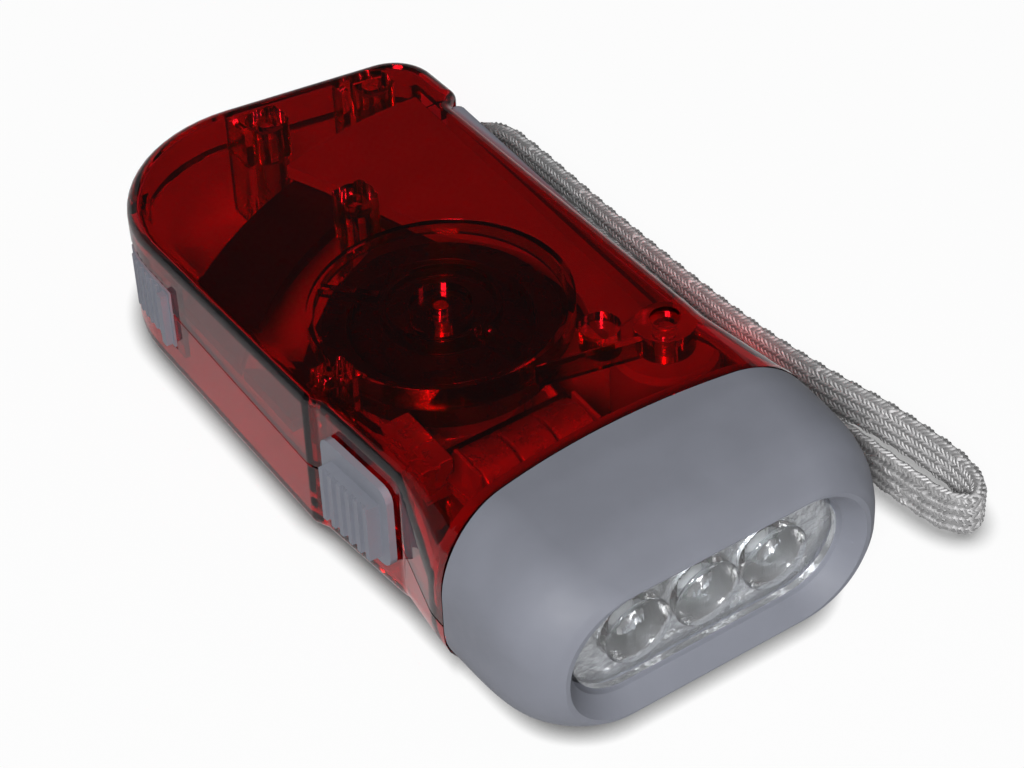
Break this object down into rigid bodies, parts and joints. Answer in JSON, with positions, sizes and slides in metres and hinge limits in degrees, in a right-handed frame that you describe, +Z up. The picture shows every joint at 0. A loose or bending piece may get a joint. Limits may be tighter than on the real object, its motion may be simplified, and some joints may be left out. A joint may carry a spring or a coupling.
{
  "type": "hand crank flashlight",
  "caption": "Squeeze-lever dynamo torch with a clear red case, grey nose with three LED lenses, side lever, switch, lever lock and a braided wrist strap.",
  "frame": {"origin": "on the flat underside of the case, on the nose's centre line, 32.6 mm behind the top of the nose's seam", "axes": "+Z up from the rest plane, -Y towards the lamps, +Y towards the tail, +X towards the lever and the strap"},
  "size_m": [0.0732, 0.1106, 0.0263],
  "materials": {
    "case_red": "clear tinted, polished",
    "grip_grey": "satin, fine grain",
    "plate_black": "satin",
    "lens_clear": "clear, polished",
    "reflector_silver": "bright plated",
    "board_green": "lacquered",
    "steel": "bright drawn",
    "steel_dark": "black",
    "brass": "rolled",
    "copper": "enamelled wire",
    "gear_white": "satin",
    "wire_red": "smooth",
    "wire_black": "smooth",
    "strap_braid": "flat braid with light flecks"
  },
  "bodies": {
    "housing": {"top_shell": "case_red", "bottom_shell": "case_red", "nose_bezel": "grip_grey", "front_lens": "lens_clear", "reflector": "reflector_silver", "led_1": "lens_clear", "led_2": "lens_clear", "led_3": "lens_clear", "circuit_board": "board_green", "rectifier": "plate_black", "button_cell_1": "steel", "button_cell_2": "steel", "button_cell_3": "steel", "cell_contact_left": "brass", "cell_contact_right": "brass", "switch_body": "steel", "lever_pin": "steel", "gear_axle": "steel", "return_spring": "steel", "stator_core": "steel", "stator_coil": "copper", "lead_wire_1": "wire_red", "lead_wire_2": "wire_black", "case_screw_1": "steel", "case_screw_2": "steel", "case_screw_3": "steel", "case_screw_4": "steel", "wrist_strap": "strap_braid", "strap_knot": "strap_braid"},
    "squeeze_lever": {"lever": "grip_grey", "sector_gear": "plate_black", "sector_screw_1": "steel", "sector_screw_2": "steel", "sector_screw_3": "steel"},
    "gear_pair": {"compound_gear": "gear_white"},
    "pinion": {"drive_pinion": "gear_white"},
    "rotor": {"ratchet_pawls": "gear_white", "flywheel": "steel_dark", "rotor_shaft": "steel", "rotor_magnet": "steel_dark"},
    "switch": {"switch_slider": "grip_grey"},
    "lock": {"lock_slider": "grip_grey"}
  },
  "joints": [
    {"name": "lever_pivot", "type": "hinge", "parent": "housing", "child": "squeeze_lever", "pos_m": [0.0172, -0.0203, 0.0138], "axis": [0, 0, -1], "range_deg": [0, 26], "deforming": ["return_spring"]},
    {"name": "gear_turn", "type": "hinge", "parent": "housing", "child": "gear_pair", "pos_m": [0.00573, 0.01171, 0.0112], "axis": [0, 0, -1], "range_deg": [0, 203]},
    {"name": "pinion_turn", "type": "hinge", "parent": "housing", "child": "pinion", "pos_m": [-0.0026, 0.0007, 0.0112], "axis": [0, 0, -1], "range_deg": [-731, 0]},
    {"name": "rotor_spin", "type": "hinge", "parent": "housing", "child": "rotor", "pos_m": [-0.0026, 0.0007, 0.0144], "axis": [0, 0, 1], "continuous": true},
    {"name": "switch_slide", "type": "slide", "parent": "housing", "child": "switch", "axis": [-0.0661, 0.9978, 0], "range_m": [0, 0.002]},
    {"name": "lock_slide", "type": "slide", "parent": "housing", "child": "lock", "axis": [0, 1, 0], "range_m": [0, 0.004]}
  ],
  "couplings": [
    {"joint": "gear_turn", "follows": "lever_pivot", "ratio": 7.8},
    {"joint": "pinion_turn", "follows": "lever_pivot", "ratio": -28.08}
  ]
}
